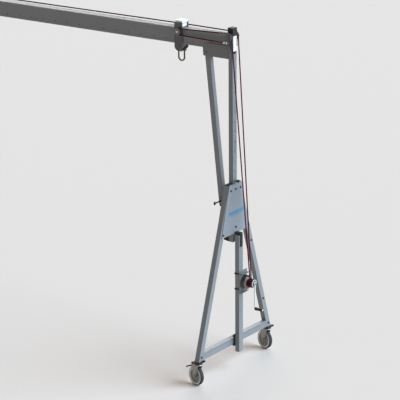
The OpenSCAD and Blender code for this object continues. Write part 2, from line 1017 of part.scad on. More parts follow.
right_legs();
right_base_beam();
right_gussets();
right_guides();
right_fixings();
right_caster_plates();
winch_post();
winch_bracket();
left_legs();
left_base_beam();
left_gussets();
left_guides();
left_fixings();
left_caster_plates();
beam();
right_mast();
left_mast();
knee_brackets();
right_strut();
left_strut();
mast_heads();
beam_fixings();
near_head_sheave();
far_head_sheave();
trolley_plates();
trolley_fixings();
trolley_roller_left();
trolley_roller_right();
trolley_block();
trolley_sheave();
shackle();
shackle_pin();
winch_drum();
drum_rope();
ratchet_disc();
winch_crank();
crank_grip();
winch_pawl();
right_lock_plunger();
left_lock_plunger();
right_strut_pin();
left_strut_pin();
fall_ropes();
trolley_ropes();
fork_rn();
rim_rn();
tyre_rn();
brake_rn();
fork_rf();
rim_rf();
tyre_rf();
brake_rf();
fork_ln();
rim_ln();
tyre_ln();
brake_ln();
fork_lf();
rim_lf();
tyre_lf();
brake_lf();
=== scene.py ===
"""Looks for the portable gantry crane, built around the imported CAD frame."""

import math

import bmesh
import bpy
from mathutils import Matrix, Vector


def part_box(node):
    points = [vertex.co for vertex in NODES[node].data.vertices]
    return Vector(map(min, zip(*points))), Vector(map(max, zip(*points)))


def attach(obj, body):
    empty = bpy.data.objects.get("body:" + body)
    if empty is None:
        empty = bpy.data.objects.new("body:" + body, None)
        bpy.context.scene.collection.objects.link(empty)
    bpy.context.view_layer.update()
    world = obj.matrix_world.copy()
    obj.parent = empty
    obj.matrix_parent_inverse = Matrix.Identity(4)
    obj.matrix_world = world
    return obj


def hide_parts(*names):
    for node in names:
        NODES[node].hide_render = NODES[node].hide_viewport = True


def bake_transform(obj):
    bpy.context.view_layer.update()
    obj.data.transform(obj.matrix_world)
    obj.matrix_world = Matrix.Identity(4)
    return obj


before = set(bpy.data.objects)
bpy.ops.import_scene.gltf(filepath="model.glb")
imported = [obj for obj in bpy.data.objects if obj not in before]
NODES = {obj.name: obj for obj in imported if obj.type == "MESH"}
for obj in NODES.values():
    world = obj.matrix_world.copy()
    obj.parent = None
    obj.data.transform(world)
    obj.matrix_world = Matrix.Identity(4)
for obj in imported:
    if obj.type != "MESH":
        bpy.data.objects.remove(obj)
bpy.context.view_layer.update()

# ---------------------------------------------------------------- places from the frame


def middle(node):
    low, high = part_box(node)
    return (low + high) / 2


leg_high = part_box("right_legs")[1]
base_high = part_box("right_base_beam")[1]
beam_low, beam_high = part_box("beam")
mast_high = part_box("right_mast")[1]
RIGHT_FACE = leg_high.x          # outer faces of the right legs
LEFT_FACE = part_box("left_legs")[0].x
MID_X = (RIGHT_FACE + LEFT_FACE) / 2
BASE_TOP = base_high.z

# ---------------------------------------------------------------- camera

CAMERA_PLACE = (RIGHT_FACE + 11.378, -17.123, BASE_TOP + 7.549)
CAMERA_TURN = (34.453, 17.009, -0.392)       # azimuth, downward tilt, roll, in degrees
CAMERA_LENS = 223.2                          # mm, on a 36 mm sensor


def add_camera():
    data = bpy.data.cameras.new("camera")
    data.lens = CAMERA_LENS
    data.sensor_width = 36
    data.clip_end = 200
    camera = bpy.data.objects.new("camera", data)
    bpy.context.scene.collection.objects.link(camera)
    azimuth, tilt, roll = (math.radians(a) for a in CAMERA_TURN)
    turn = (
        Matrix.Rotation(azimuth, 4, "Z")
        @ Matrix.Rotation(math.pi / 2 - tilt, 4, "X")
        @ Matrix.Rotation(roll, 4, "Z")
    )
    camera.matrix_world = Matrix.Translation(CAMERA_PLACE) @ turn
    bpy.context.scene.camera = camera


add_camera()

# ---------------------------------------------------------------- shader nodes


class Shader:
    """A material's node tree, with short calls for the nodes used here."""

    def __init__(self, name):
        self.material = bpy.data.materials.new(name)
        self.material.use_nodes = True
        self.tree = self.material.node_tree
        self.tree.nodes.clear()
        self.out = self.add("ShaderNodeOutputMaterial")
        self.bsdf = self.add("ShaderNodeBsdfPrincipled")
        self.link(self.bsdf.outputs[0], self.out.inputs[0])
        self.place = self.add("ShaderNodeTexCoord").outputs["Object"]

    def add(self, kind, **values):
        node = self.tree.nodes.new(kind)
        for key, value in values.items():
            setattr(node, key, value)
        return node

    def link(self, a, b):
        self.tree.links.new(a, b)

    def stretched(self, scale):
        mapping = self.add("ShaderNodeMapping")
        mapping.inputs["Scale"].default_value = scale
        self.link(self.place, mapping.inputs[0])
        return mapping.outputs[0]

    def noise(self, scale, detail=4.0, stretch=None):
        node = self.add("ShaderNodeTexNoise")
        node.inputs["Scale"].default_value = scale
        node.inputs["Detail"].default_value = detail
        self.link(self.stretched(stretch) if stretch else self.place, node.inputs["Vector"])
        return node.outputs[0]

    def level(self, factor, low, high):
        node = self.add("ShaderNodeMapRange")
        node.inputs["To Min"].default_value = low
        node.inputs["To Max"].default_value = high
        self.link(factor, node.inputs[0])
        return node.outputs[0]

    def mixed(self, factor, a, b):
        node = self.add("ShaderNodeMix", data_type="RGBA")
        self.link(factor, node.inputs["Factor"])
        for socket, value in ((node.inputs[6], a), (node.inputs[7], b)):
            if hasattr(value, "is_linked"):
                self.link(value, socket)
            else:
                socket.default_value = (*value, 1)
        return node.outputs[2]

    def edges(self):
        """1 on worn convex edges, 0 elsewhere."""
        point = self.add("ShaderNodeNewGeometry").outputs["Pointiness"]
        node = self.add("ShaderNodeMapRange")
        node.inputs["From Min"].default_value = 0.52
        node.inputs["From Max"].default_value = 0.60
        self.link(point, node.inputs[0])
        return node.outputs[0]

    def bump(self, height, strength, distance=0.001):
        node = self.add("ShaderNodeBump")
        node.inputs["Strength"].default_value = strength
        node.inputs["Distance"].default_value = distance
        self.link(height, node.inputs["Height"])
        self.link(node.outputs[0], self.bsdf.inputs["Normal"])

    def colour(self, socket):
        self.link(socket, self.bsdf.inputs["Base Color"])

    def rough(self, socket):
        self.link(socket, self.bsdf.inputs["Roughness"])

    def set(self, **values):
        for key, value in values.items():
            self.bsdf.inputs[key.replace("_", " ")].default_value = value


def shade(colour, k):
    return tuple(c * k for c in colour)


# ---------------------------------------------------------------- materials


def metal(name, colour, metallic=0.15, low=0.42, high=0.6, grain=(1, 1, 60), wear=0.5):
    """Extruded or rolled metal: fine lines along its length, cloudy colour, bright edges."""
    s = Shader(name)
    lines = s.noise(22, 3, grain)
    cloud = s.noise(5, 3)
    spots = s.noise(70, 2)
    body = s.mixed(cloud, shade(colour, 0.90), shade(colour, 1.10))
    body = s.mixed(s.level(lines, 0, 0.5), body, shade(colour, 0.80))
    body = s.mixed(s.level(s.edges(), 0, wear), body, shade(colour, 1.45))
    s.colour(body)
    s.rough(s.level(spots, low, high))
    s.bump(lines, 0.12, 0.0004)
    s.set(Metallic=metallic)
    return s.material


def paint(name, colour, low=0.38, high=0.55, wear=0.35, bare=(0.30, 0.30, 0.31), shine=0.5):
    """Powder coat: fine orange peel, rubbed edges, a little dust."""
    s = Shader(name)
    peel = s.noise(900, 2)
    dust = s.noise(18, 5)
    body = s.mixed(dust, colour, tuple(0.9 * c + 0.006 for c in colour))
    body = s.mixed(s.level(s.edges(), 0, wear), body, bare)
    s.colour(body)
    s.rough(s.level(dust, low, high))
    s.bump(peel, 0.18, 0.0004)
    s.set(Metallic=0.1, Specular_IOR_Level=shine)
    return s.material


def plastic(name, colour, low=0.35, high=0.5, pits=500, depth=0.12):
    """Moulded plastic or rubber with a fine eroded skin."""
    s = Shader(name)
    skin = s.noise(pits, 3)
    cloud = s.noise(12, 3)
    s.colour(s.mixed(cloud, shade(colour, 0.88), shade(colour, 1.10)))
    s.rough(s.level(cloud, low, high))
    s.bump(skin, depth, 0.0005)
    return s.material


def braid(name, colour):
    """Braided rope cover: two crossing sets of strands, painted shade in the grooves between them and a
    painted highlight on their crowns, and a dusty sheen.
    """
    s = Shader(name)
    height = None
    for angle in (38, -38):
        mapping = s.add("ShaderNodeMapping")
        mapping.inputs["Rotation"].default_value = (0, math.radians(angle), 0)
        s.link(s.place, mapping.inputs[0])
        wave = s.add("ShaderNodeTexWave", wave_type="BANDS", bands_direction="Z")
        wave.inputs["Scale"].default_value = 90
        wave.inputs["Distortion"].default_value = 0.6
        s.link(mapping.outputs[0], wave.inputs[0])
        if height is None:
            height = wave.outputs[1]
        else:
            joined = s.add("ShaderNodeMath", operation="MAXIMUM")
            s.link(height, joined.inputs[0])
            s.link(wave.outputs[1], joined.inputs[1])
            height = joined.outputs[0]
    # Colour follows the strands' relief: painted shade in the grooves, painted highlight on the crowns.
    s.colour(s.mixed(height, shade(colour, 0.45), shade(colour, 1.25)))
    s.bump(height, 0.6, 0.0012)
    s.set(Roughness=0.8, Specular_IOR_Level=0.15)
    return s.material


ALU_GREY = (0.184, 0.193, 0.197)
MATERIALS = {
    "alu_x": metal("alu_x", ALU_GREY, grain=(1, 40, 40)),
    "alu_z": metal("alu_z", ALU_GREY, grain=(40, 40, 1)),
    "alu_y": metal("alu_y", ALU_GREY, grain=(40, 1, 40)),
    "gusset": metal("gusset", (0.184, 0.197, 0.205), 0.15, 0.4, 0.55, (1, 30, 30), 0.7),
    "black": paint("black", (0.015, 0.015, 0.016), 0.55, 0.7, 0.12, (0.12, 0.12, 0.12), 0.25),
    "dull_steel": metal("dull_steel", (0.107, 0.111, 0.107), 0.3, 0.4, 0.55, (8, 8, 8)),
    "knee": paint("knee", (0.118, 0.120, 0.112)),
    "trolley": paint("trolley", (0.082, 0.086, 0.086)),
    "nylon": plastic("nylon", (0.656, 0.656, 0.631)),
    "sheave": metal("sheave", (0.123, 0.123, 0.119), 0.4, 0.35, 0.5, (10, 10, 10)),
    "gold": metal("gold", (0.075, 0.066, 0.012), 0.4, 0.3, 0.45, (6, 6, 6), 0.5),
    "rope": braid("rope", (0.080, 0.002, 0.007)),
    "winch": paint("winch", (0.045, 0.052, 0.048)),
    "winch_ring": paint("winch_ring", (0.23, 0.20, 0.19)),
    "chrome": metal("chrome", (0.64, 0.62, 0.57), 0.3, 0.3, 0.42, (5, 5, 5)),
    "grip": plastic("grip", (0.015, 0.015, 0.015), 0.4, 0.6, 300, 0.3),
    "fork": metal("fork", (0.328, 0.320, 0.279), 0.75, 0.3, 0.45, (6, 6, 6)),
    "rim": plastic("rim", (0.705, 0.705, 0.681)),
    "web": plastic("web", (0.271, 0.271, 0.262)),
    "tyre": plastic("tyre", (0.016, 0.017, 0.020), 0.6, 0.85, 260, 0.35),
    "mark": plastic("mark", (0.020, 0.148, 0.254), 0.4, 0.5, 200, 0.05),
}

CAD_LOOKS = {
    "alu_z": ["right_legs", "left_legs", "right_mast", "left_mast", "right_strut",
              "left_strut", "winch_post"],
    "alu_y": ["right_base_beam", "left_base_beam"],
    "alu_x": ["beam", "winch_bracket"],
    "gusset": ["right_gussets", "left_gussets"],
    "black": ["right_fixings", "left_fixings", "right_caster_plates", "left_caster_plates",
              "mast_heads", "right_lock_plunger", "left_lock_plunger", "right_strut_pin",
              "left_strut_pin", "winch_pawl", "brake_rn", "brake_rf", "brake_ln", "brake_lf"],
    "dull_steel": ["beam_fixings", "trolley_fixings", "shackle_pin"],
    "knee": ["knee_brackets"],
    "trolley": ["trolley_plates"],
    "nylon": ["right_guides", "left_guides", "trolley_roller_left", "trolley_roller_right",
              "trolley_block"],
    "sheave": ["near_head_sheave", "far_head_sheave", "trolley_sheave"],
    "gold": ["shackle"],
    "rope": ["fall_ropes", "trolley_ropes", "drum_rope"],
    "winch": ["winch_drum", "ratchet_disc"],
    "chrome": ["winch_crank"],
    "grip": ["crank_grip"],
    "fork": ["fork_rn", "fork_rf", "fork_ln", "fork_lf"],
    "rim": ["rim_rn", "rim_rf", "rim_ln", "rim_lf"],
    "tyre": ["tyre_rn", "tyre_rf", "tyre_ln", "tyre_lf"],
}
# Rounding of the edges of carried-over nodes, in metres
EDGE = {"gusset": 0.0012, "black": 0.0010, "knee": 0.0010, "trolley": 0.0010,
        "nylon": 0.0020, "alu_x": 0.0015, "alu_y": 0.0020, "alu_z": 0.0020, "dull_steel": 0.0006,
        "fork": 0.0008, "winch": 0.0008, "chrome": 0.0006}


WELD_GAP = 0.00002
SHARP_ANGLE = math.radians(40)


def soften(obj, width):
    """Joins split vertices, then rounds sharp edges."""
    weld = obj.modifiers.new("weld", "WELD")
    weld.merge_threshold = WELD_GAP
    bevel = obj.modifiers.new("bevel", "BEVEL")
    bevel.width = width
    bevel.segments = 2
    bevel.limit_method = "ANGLE"
    bevel.angle_limit = SHARP_ANGLE
    bevel.use_clamp_overlap = True
    normals = obj.modifiers.new("normals", "WEIGHTED_NORMAL")
    normals.keep_sharp = True


def dress_cad():
    for look, nodes in CAD_LOOKS.items():
        for node in nodes:
            obj = NODES[node]
            obj.data.materials.clear()
            obj.data.materials.append(MATERIALS[look])
            if look in EDGE:
                soften(obj, EDGE[look])


dress_cad()

# ---------------------------------------------------------------- mesh helpers

MM = 0.001
ROPE_R = 5.5 * MM


def turned(centre, axis):
    """Places a shape made along +Z on centre, along axis."""
    return Matrix.Translation(centre) @ Vector(axis).to_track_quat("Z", "Y").to_matrix().to_4x4()


def skin(bm, rings, closed=False):
    """Faces between neighbouring rings of vertices: with end faces, or closed on itself."""
    pairs = list(zip(rings, rings[1:]))
    if closed:
        pairs.append((rings[-1], rings[0]))
    for a, b in pairs:
        for k in range(len(a)):
            n = (k + 1) % len(a)
            bm.faces.new((a[k], a[n], b[n], b[k]))
    if not closed:
        bm.faces.new(list(reversed(rings[0])))
        bm.faces.new(rings[-1])


def lathe(bm, profile, place, steps=48, closed=False):
    """Turns (radius, height) points round local Z. A closed profile is a ring's section."""
    rings = []
    for radius, height in profile:
        rings.append([
            bm.verts.new(place @ Vector((
                radius * math.cos(math.tau * k / steps),
                radius * math.sin(math.tau * k / steps),
                height,
            )))
            for k in range(steps)
        ])
    skin(bm, rings, closed)


def prism(bm, outline, depth, place):
    """Extrudes an (x, y) outline by depth along local Z."""
    low = [bm.verts.new(place @ Vector((x, y, 0))) for x, y in outline]
    high = [bm.verts.new(place @ Vector((x, y, depth))) for x, y in outline]
    skin(bm, [low, high])


def tube(bm, points, radius, sides=12):
    """A round bar through the points, with flat ends."""
    points = [Vector(p) for p in points]
    ahead = (points[1] - points[0]).normalized()
    side = ahead.orthogonal().normalized()
    rings = []
    for k, point in enumerate(points):
        before = points[max(k - 1, 0)]
        after = points[min(k + 1, len(points) - 1)]
        now = (after - before).normalized()
        side = (ahead.rotation_difference(now) @ side).normalized()
        ahead = now
        up = ahead.cross(side)
        rings.append([
            bm.verts.new(point + radius * (
                math.cos(math.tau * s / sides) * side + math.sin(math.tau * s / sides) * up
            ))
            for s in range(sides)
        ])
    skin(bm, rings)


def between(a, b, step=0.05):
    """Points from a to b, both included, about step apart."""
    a, b = Vector(a), Vector(b)
    count = max(1, round((b - a).length / step))
    return [a.lerp(b, k / count) for k in range(count + 1)]


def arc_y(centre, radius, start, stop, count=12):
    """Points of an arc in the XZ plane, angles in degrees from +X towards +Z."""
    return [
        Vector(centre) + radius * Vector((math.cos(t), 0, math.sin(t)))
        for t in (math.radians(start + (stop - start) * k / count) for k in range(count + 1))
    ]


def piece(name, bm, look, body=None, replaces=(), edge=0.0):
    """Makes an object of a bmesh."""
    bmesh.ops.recalc_face_normals(bm, faces=bm.faces)
    mesh = bpy.data.meshes.new(name)
    bm.to_mesh(mesh)
    bm.free()
    mesh.materials.append(MATERIALS[look])
    mesh.polygons.foreach_set("use_smooth", [True] * len(mesh.polygons))
    mesh.set_sharp_from_angle(angle=math.radians(35))
    obj = bpy.data.objects.new(name, mesh)
    bpy.context.scene.collection.objects.link(obj)
    if edge:
        soften(obj, edge)
    if replaces:
        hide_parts(*replaces)
    if body:
        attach(obj, body)
    return obj


def hexagon(radius):
    return [(radius * math.cos(math.tau * k / 6), radius * math.sin(math.tau * k / 6)) for k in range(6)]


def star(inner, outer, lobes=6, count=48):
    """Outline of a lobed hand knob."""
    points = []
    for k in range(count):
        t = math.tau * k / count
        r = (inner + outer) / 2 + (outer - inner) / 2 * math.cos(lobes * t)
        points.append((r * math.cos(t), r * math.sin(t)))
    return points


# ---------------------------------------------------------------- casters

CORNERS = ("rn", "rf", "ln", "lf")
WHEEL_TURN = math.radians(162.5)             # of the wheels' axles, as the casters stand
WHEEL_AXIS = Vector((-math.sin(WHEEL_TURN), math.cos(WHEEL_TURN), 0))
tyre_low, tyre_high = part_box("tyre_rn")
TYRE_R = (tyre_high.z - tyre_low.z) / 2
RIM_R = TYRE_R - 9 * MM
RING_IN = RIM_R - 13 * MM
WHEEL_HALF = 18 * MM


def rim_piece(tag):
    """Hub, spoked web and the light outer ring of a wheel."""
    centre = middle("rim_" + tag)
    place = turned(centre, WHEEL_AXIS)
    half, web = WHEEL_HALF, 6 * MM
    bm = bmesh.new()
    outer, lip = RING_IN + 1 * MM, RING_IN - 4 * MM
    lathe(bm, [
        (6.1 * MM, -half - 2 * MM), (15 * MM, -half - 2 * MM), (18 * MM, -half + 1 * MM),
        (20 * MM, -web - 2 * MM), (24 * MM, -web), (lip - 3 * MM, -web),
        (lip, -half + 6 * MM), (outer, -half + 4 * MM), (outer, half - 4 * MM), (lip, half - 6 * MM),
        (lip - 3 * MM, web), (24 * MM, web), (20 * MM, web + 2 * MM),
        (18 * MM, half - 1 * MM), (15 * MM, half + 2 * MM), (6.1 * MM, half + 2 * MM),
    ], place, 64, closed=True)
    for side in (-1, 1):
        for k in range(6):
            spoke = place @ Matrix.Rotation(math.tau * k / 6, 4, "Z")
            foot = spoke @ Matrix.Translation((0, 0, side * web - (4 * MM if side < 0 else 0)))
            prism(bm, [(19 * MM, -3.2 * MM), (lip - 2 * MM, -2.4 * MM), (lip - 2 * MM, 2.4 * MM),
                       (19 * MM, 3.2 * MM)], 4 * MM, foot)
        ring = place @ Matrix.Translation((0, 0, side * web))
        lathe(bm, [(41 * MM, 0), (41.6 * MM, side * 1.6 * MM), (43.4 * MM, side * 1.6 * MM),
                   (44 * MM, 0)], ring, 48, closed=True)
    piece("rim_web_" + tag, bm, "web", "wheel_" + tag, ["rim_" + tag], 0.0006)
    bm = bmesh.new()
    lathe(bm, [
        (RING_IN, -half + 2 * MM), (RING_IN + 2 * MM, -half + 0.4 * MM),
        (RIM_R - 3 * MM, -half + 0.2 * MM), (RIM_R, -half + 1 * MM), (RIM_R, half - 1 * MM),
        (RIM_R - 3 * MM, half - 0.2 * MM), (RING_IN + 2 * MM, half - 0.4 * MM), (RING_IN, half - 2 * MM),
    ], place, 96, closed=True)
    piece("rim_ring_" + tag, bm, "rim", "wheel_" + tag, ["rim_" + tag], 0.0004)


def tyre_piece(tag):
    """Tyre with a rounded tread."""
    bm = bmesh.new()
    half, r = WHEEL_HALF, TYRE_R
    profile = [(RIM_R, -half + 1.2 * MM), (RIM_R + 1.5 * MM, -half + 0.3 * MM)]
    steps = 10
    for k in range(steps + 1):
        t = -1 + 2 * k / steps
        bulge = math.cos(t * math.pi / 2) ** 0.5 if abs(t) < 1 else 0.0
        profile.append((r - 5 * MM + 5 * MM * bulge, t * (half - 0.5 * MM)))
    profile += [(RIM_R + 1.5 * MM, half - 0.3 * MM), (RIM_R, half - 1.2 * MM)]
    lathe(bm, profile, turned(middle("tyre_" + tag), WHEEL_AXIS), 96, closed=True)
    piece("tyre_look_" + tag, bm, "tyre", "wheel_" + tag, ["tyre_" + tag])


CASTER_INSET = 50 * MM     # from a top plate's end to the caster's king pin


def fork_trim(tag):
    """Ball race under the top plate and the axle's nuts."""
    bm = bmesh.new()
    fork_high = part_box("fork_" + tag)[1]
    frame_tag = "right" if tag[0] == "r" else "left"
    plates_low, plates_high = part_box(frame_tag + "_caster_plates")
    king = Vector((
        (plates_low.x + plates_high.x) / 2,
        plates_low.y + CASTER_INSET if tag[1] == "n" else plates_high.y - CASTER_INSET,
        fork_high.z,
    ))
    race = turned(king, (0, 0, 1))
    lathe(bm, [(30 * MM, -15 * MM), (35 * MM, -13 * MM), (37 * MM, -8 * MM), (35 * MM, -3 * MM),
               (30 * MM, -1 * MM)], race, 48, closed=True)
    centre = middle("rim_" + tag)
    for side in (-1, 1):
        seat = centre + side * (WHEEL_HALF + 7 * MM) * WHEEL_AXIS
        nut = turned(seat, side * WHEEL_AXIS)
        lathe(bm, [(6.2 * MM, 0), (14 * MM, 0), (14 * MM, 1.5 * MM), (6.2 * MM, 1.5 * MM)], nut, 32, True)
        prism(bm, hexagon(11 * MM), 7 * MM, nut)
    piece("fork_trim_" + tag, bm, "fork", "fork_" + tag, edge=0.0006)


for corner in CORNERS:
    rim_piece(corner)
    tyre_piece(corner)
    fork_trim(corner)

# ---------------------------------------------------------------- ropes

near_sheave = middle("near_head_sheave")
far_sheave = middle("far_head_sheave")
return_sheave = middle("trolley_sheave")
HEAD_R, RETURN_R = 34 * MM, 27 * MM
wound_low, wound_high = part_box("drum_rope")
drum = middle("drum_rope")
WOUND_R = 35.8 * MM
FAR_X = wound_low.x + 8 * MM
NEAR_X = wound_high.x - 6 * MM
ANCHOR = Vector((near_sheave.x - 7.5 * MM, -76 * MM, near_sheave.z - 44 * MM))
LEFT_ANCHOR = Vector((2 * MID_X - ANCHOR.x, 76 * MM, near_sheave.z + 16 * MM))


def fall_piece(name, sheave, x, y):
    """From the drum up to a head sheave and over it by a quarter turn."""
    bm = bmesh.new()
    head = sheave + Vector((HEAD_R, 0, 0))
    foot = Vector((x, y, drum.z))
    path = between(foot, head)[:-1] + arc_y(sheave, HEAD_R, 0, 90)
    tube(bm, path, ROPE_R)
    obj = piece(name, bm, "rope", replaces=["fall_ropes"])
    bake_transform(obj)


def rope_end(name, eye, anchor):
    """Swaged sleeve and thimble that hold a rope's end on its anchor pin."""
    bm = bmesh.new()
    sleeve = turned(eye, anchor - eye)
    lathe(bm, [(ROPE_R + 0.1 * MM, -20 * MM), (7.2 * MM, -19 * MM), (7.6 * MM, -10 * MM),
               (7.2 * MM, -1 * MM), (ROPE_R + 0.1 * MM, 0)], sleeve, 24, True)
    lathe(bm, [(8.6 * MM + 3 * MM * math.cos(t), 4.5 * MM * math.sin(t))
               for t in (math.tau * k / 12 for k in range(12))], turned(anchor, (0, 1, 0)), 32, True)
    piece(name, bm, "chrome", "beam_assembly", ["trolley_ropes"])


def near_line():
    """From the near head sheave to the return sheave, round it, and back to the anchor."""
    bm = bmesh.new()
    top = near_sheave + Vector((0, 0, HEAD_R))
    turn = return_sheave
    path = between(top, turn + Vector((0, 0, RETURN_R)))[:-1]
    path += arc_y(turn, RETURN_R, 90, 270, 18)
    eye = ANCHOR - Vector((11 * MM, 0, 0))
    path += between(turn - Vector((0, 0, RETURN_R)), eye)[1:]
    tube(bm, path, ROPE_R)
    obj = piece("near_line", bm, "rope", replaces=["trolley_ropes"])
    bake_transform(obj)
    rope_end("near_rope_end", eye, ANCHOR)


def far_line():
    """From the far head sheave past the trolley to the left head's anchor."""
    over = Vector((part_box("trolley_plates")[1].x, far_sheave.y + 5 * MM, far_sheave.z + HEAD_R + 2 * MM))
    beyond = Vector((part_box("trolley_plates")[0].x, over.y, over.z))
    top = far_sheave + Vector((0, 0, HEAD_R))
    end = LEFT_ANCHOR + Vector((11 * MM, 0, 0))
    bm = bmesh.new()
    tube(bm, between(top, over), ROPE_R)
    right = piece("far_line_right", bm, "rope", replaces=["trolley_ropes"])
    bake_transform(right)
    bm = bmesh.new()
    tube(bm, between(over, beyond) + between(beyond, end)[1:], ROPE_R)
    left = piece("far_line_left", bm, "rope", replaces=["trolley_ropes"])
    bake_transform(left)
    rope_end("far_rope_end", end, LEFT_ANCHOR)


WOUND_TURNS = 1.5
WOUND_STEPS = 60


def wound_rope():
    """Turns on the drum, from where the far fall meets it to where the near one does."""
    bm = bmesh.new()
    path = []
    for k in range(WOUND_STEPS + 1):
        t = math.tau * WOUND_TURNS * k / WOUND_STEPS
        x = FAR_X + (NEAR_X - FAR_X) * k / WOUND_STEPS
        path.append(Vector((x, drum.y + WOUND_R * math.cos(t), drum.z - WOUND_R * math.sin(t))))
    tube(bm, path, ROPE_R)
    core = turned((wound_low.x, drum.y, drum.z), (1, 0, 0))
    length = wound_high.x - wound_low.x
    lathe(bm, [(21.2 * MM, 0), (33 * MM, 0), (33 * MM, length), (21.2 * MM, length)], core, 48, True)
    piece("wound_rope", bm, "rope", "winch", ["drum_rope"])


fall_piece("near_fall", near_sheave, NEAR_X, drum.y - WOUND_R)
fall_piece("far_fall", far_sheave, FAR_X, drum.y + WOUND_R)
near_line()
far_line()
wound_rope()

# ---------------------------------------------------------------- trims of the frames


def hand(left):
    return "left" if left else "right"


def mirrored(point, left):
    """The matching place on the left frame."""
    x, y, z = point
    return Vector((2 * MID_X - x if left else x, y, z))


def slab(bm, low, high):
    """A block between two corners, its rim drawn in on the upper side like a moulded cap."""
    x0, y0, z0 = low
    x1, y1, z1 = high
    x0, x1 = sorted((x0, x1))
    inset = min(x1 - x0, y1 - y0, z1 - z0) * 0.3
    corners = [(x0, y0), (x1, y0), (x1, y1), (x0, y1)]
    signs = [(1, 1), (-1, 1), (-1, -1), (1, -1)]
    rings = []
    for z, k in ((z0, 0), (z1 - inset, 0), (z1, inset)):
        rings.append([
            bm.verts.new((x + k * sx, y + k * sy, z)) for (x, y), (sx, sy) in zip(corners, signs)
        ])
    skin(bm, rings)


def leg_caps(left):
    """Ribbed plastic caps on the tops of the two legs."""
    bm = bmesh.new()
    outer, top = RIGHT_FACE, leg_high.z
    for side in (-1, 1):
        y0, y1 = sorted((side * 0.090, side * 0.039))
        slab(bm, mirrored((outer - 0.046, y0, top - 0.001), left),
             mirrored((outer - 0.001, y1, top + 0.010), left))
        for k in range(4):
            x = outer - 0.012 - 0.0075 * k
            slab(bm, mirrored((x - 0.002, y0 + 0.006, top + 0.0095), left),
                 mirrored((x + 0.002, y1 - 0.006, top + 0.0115), left))
    piece(hand(left) + "_leg_caps", bm, "black", hand(left) + "_frame", edge=0.0012)


def strut_cap(left):
    """Plastic plug and screw in the strut's lower end."""
    bm = bmesh.new()
    strut_low, strut_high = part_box(hand(left) + "_strut")
    x = strut_high.x - 0.025 if not left else strut_low.x + 0.025
    z = strut_low.z
    slab(bm, (x - 0.0225, -0.0225, z - 0.014), (x + 0.0225, 0.0225, z + 0.001))
    lathe(bm, [(0.004, -0.020), (0.014, -0.019), (0.016, -0.014), (0.004, -0.0135)],
          Matrix.Translation((x, 0, z)), 32, True)
    piece(hand(left) + "_strut_cap", bm, "black", "beam_assembly", edge=0.001)


MAST_BOLT_Z = BASE_TOP + 2.573
STRIP_BLOCKS = 7


def front_strip(left):
    """White wear strip and the dark bolt below it on the mast's outer face."""
    front = mirrored((mast_high.x, 0, 0), left).x
    out = -1 if left else 1
    bm = bmesh.new()
    x0, x1 = sorted((front + out * 0.0005, front + out * 0.0045))
    z0, z1 = MAST_BOLT_Z + 0.010, beam_high.z - 0.012
    for k in range(STRIP_BLOCKS):
        low = z0 + (z1 - z0) * k / STRIP_BLOCKS
        slab(bm, (x0, -0.0245, low), (x1, 0.0245, low + (z1 - z0) / STRIP_BLOCKS))
    piece(hand(left) + "_wear_strip", bm, "nylon", "beam_assembly", edge=0.0008)
    bm = bmesh.new()
    seat = turned((front, 0, MAST_BOLT_Z), (out, 0, 0))
    x0, x1 = sorted((front + out * 0.0005, front + out * 0.004))
    slab(bm, (x0, -0.019, MAST_BOLT_Z - 0.009), (x1, 0.019, MAST_BOLT_Z + 0.009))
    lathe(bm, [(0.004, 0.0095), (0.0095, 0.0095), (0.0112, 0.007), (0.0112, 0.0025), (0.0093, 0.0025),
               (0.0093, 0.0092), (0.004, 0.0092)], seat, 6, True)
    piece(hand(left) + "_mast_bolt", bm, "black", "beam_assembly", edge=0.0006)


MARK_Z = BASE_TOP + 1.152
MARK_BARS, MARK_DASHES = 9, 6
MARK_DEPTH = 0.4 * MM


def gusset_mark(left):
    """A row of slanted bars over a thin line, with no lettering."""
    bm = bmesh.new()
    face = RIGHT_FACE + 0.006 if not left else LEFT_FACE - 0.006
    out = -1 if left else 1
    place = Matrix.Translation((face, 0, MARK_Z)) @ Matrix(
        ((0, 0, out, 0), (out, 0, 0, 0), (0, 1, 0, 0), (0, 0, 0, 1))
    )
    width, height, slant = 0.230, 0.034, 0.010
    pitch = width / MARK_BARS
    for k in range(MARK_BARS):
        x = -width / 2 + k * pitch
        wide = pitch * (0.80 if k % 3 else 0.62)
        prism(bm, [(x, -height / 2), (x + wide, -height / 2), (x + wide + slant, height / 2),
                   (x + slant, height / 2)], MARK_DEPTH, place)
    for k in range(MARK_DASHES):
        x = -width * 0.30 + k * width * 0.115
        prism(bm, [(x, -height * 0.95), (x + width * 0.075, -height * 0.95),
                   (x + width * 0.075, -height * 0.78), (x, -height * 0.78)], MARK_DEPTH, place)
    piece(hand(left) + "_mark", bm, "mark", hand(left) + "_frame")


def beam_rivets():
    """Two rows along the beam's lower edge."""
    bm = bmesh.new()
    pitch, margin = 0.135, 0.35
    start = beam_low.x + margin
    count = int((beam_high.x - margin - start) / pitch)
    for k in range(count + 1):
        for side in (-1, 1):
            seat = turned((start + k * pitch, side * 0.037, beam_low.z + 0.034), (0, side, 0))
            lathe(bm, [(0.0045, 0.0), (0.0045, 0.0012), (0.0028, 0.0022), (0.0008, 0.0026)], seat, 16)
    piece("beam_rivets", bm, "black", "beam_assembly")


def clamp_knobs():
    """Lobed hand knobs on the saddle's clamp bolts and caps on the bands' screws."""
    bm = bmesh.new()
    x = RIGHT_FACE + 0.0085
    for z in (BASE_TOP + 0.020, BASE_TOP - 0.065):
        for side in (-1, 1):
            seat = turned((x, side * 0.034, z), (0, side, 0))
            prism(bm, star(0.0075, 0.0082), 0.014, seat)
            lathe(bm, [(0.003, 0.014), (0.0065, 0.014), (0.0055, 0.0165), (0.003, 0.017)], seat, 24, True)
    piece("clamp_knobs", bm, "black", "right_frame", edge=0.0008)


